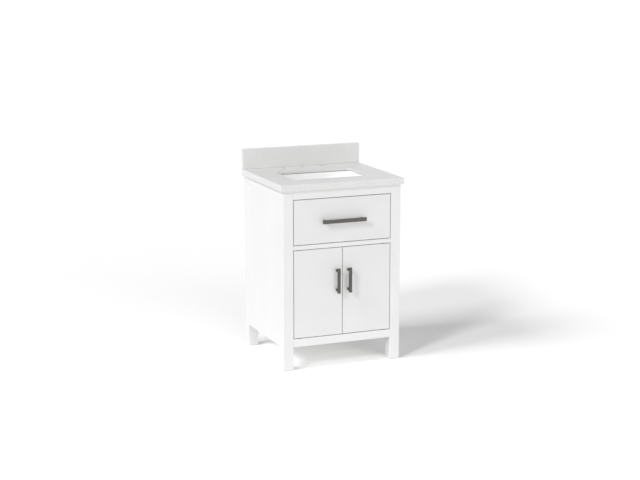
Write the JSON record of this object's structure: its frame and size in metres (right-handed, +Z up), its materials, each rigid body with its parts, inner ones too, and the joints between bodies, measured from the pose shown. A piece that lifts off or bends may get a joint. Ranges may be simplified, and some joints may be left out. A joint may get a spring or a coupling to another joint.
{
  "type": "bathroom vanity cabinet",
  "caption": "Free-standing bathroom vanity: white leg-and-rail cabinet with an inset drawer over paired inset doors, bar pulls, stone top with upstand and undermount basin.",
  "frame": {"origin": "on the floor, under the middle of the whole object's box", "axes": "+Z up, the drawer and doors face -Y, +X to the right of a person facing them"},
  "size_m": [0.635, 0.58, 1.01],
  "materials": {
    "white_paint": "satin white lacquer over wood",
    "stone_top": "polished pale engineered stone",
    "sink_china": "white gloss glaze",
    "dark_nickel": "dark brushed nickel plate",
    "zinc_steel": "bright zinc plate",
    "hinge_steel": "satin steel",
    "birch_ply": "clear lacquered birch",
    "bare_wood": "planed pine, unfinished",
    "grey_sealant": "neutral grey silicone sealant",
    "glide_nylon": "moulded nylon",
    "catch_plastic": "moulded white plastic"
  },
  "bodies": {
    "cabinet": {"back_bottom_rail": "white_paint", "back_left_leg": "white_paint", "back_panel": "white_paint", "back_right_leg": "white_paint", "back_top_rail": "white_paint", "backsplash": "stone_top", "basin": "sink_china", "basin_clip_screws": "zinc_steel", "basin_clips": "zinc_steel", "basin_sealant": "grey_sealant", "bottom_rail": "white_paint", "corner_gussets": "bare_wood", "countertop": "stone_top", "divider_rail": "white_paint", "floor_panel": "white_paint", "foot_glides": "glide_nylon", "frame_hinge_screws": "zinc_steel", "front_left_leg": "white_paint", "front_right_leg": "white_paint", "left_hinge_frame_leaves": "hinge_steel", "left_side_panel": "white_paint", "left_slide_cleat": "bare_wood", "left_slide_frame_member": "zinc_steel", "magnetic_catch": "catch_plastic", "right_hinge_frame_leaves": "hinge_steel", "right_side_panel": "white_paint", "right_slide_cleat": "bare_wood", "right_slide_frame_member": "zinc_steel", "slide_frame_screws": "zinc_steel", "top_rail": "white_paint"},
    "drawer": {"drawer_bottom": "birch_ply", "drawer_front": "white_paint", "drawer_left_back": "birch_ply", "drawer_left_notch_side": "birch_ply", "drawer_left_side": "birch_ply", "drawer_notch_front": "birch_ply", "drawer_pull": "dark_nickel", "drawer_pull_screws": "zinc_steel", "drawer_right_back": "birch_ply", "drawer_right_notch_side": "birch_ply", "drawer_right_side": "birch_ply", "drawer_subfront": "birch_ply", "left_slide_drawer_member": "zinc_steel", "right_slide_drawer_member": "zinc_steel", "slide_drawer_screws": "zinc_steel"},
    "slide_middles": {"left_slide_middle_member": "zinc_steel", "right_slide_middle_member": "zinc_steel"},
    "left_door": {"left_door": "white_paint", "left_door_hinge_screws": "zinc_steel", "left_door_pull": "dark_nickel", "left_door_pull_screws": "zinc_steel", "left_door_strike": "zinc_steel", "left_hinge_door_leaves": "hinge_steel"},
    "right_door": {"right_door": "white_paint", "right_door_hinge_screws": "zinc_steel", "right_door_pull": "dark_nickel", "right_door_pull_screws": "zinc_steel", "right_door_strike": "zinc_steel", "right_hinge_door_leaves": "hinge_steel"}
  },
  "joints": [
    {"name": "drawer_travel", "type": "slide", "parent": "cabinet", "child": "drawer", "axis": [0, -1, 0], "range_m": [0, 0.4]},
    {"name": "slide_middle_travel", "type": "slide", "parent": "cabinet", "child": "slide_middles", "axis": [0, -1, 0], "range_m": [0, 0.2]},
    {"name": "left_door_hinge", "type": "hinge", "parent": "cabinet", "child": "left_door", "pos_m": [-0.242, -0.25, 0.155], "axis": [0, 0, -1], "range_deg": [0, 105]},
    {"name": "right_door_hinge", "type": "hinge", "parent": "cabinet", "child": "right_door", "pos_m": [0.242, -0.25, 0.155], "axis": [0, 0, 1], "range_deg": [0, 105]}
  ],
  "couplings": [
    {"joint": "slide_middle_travel", "follows": "drawer_travel", "ratio": 0.5}
  ]
}
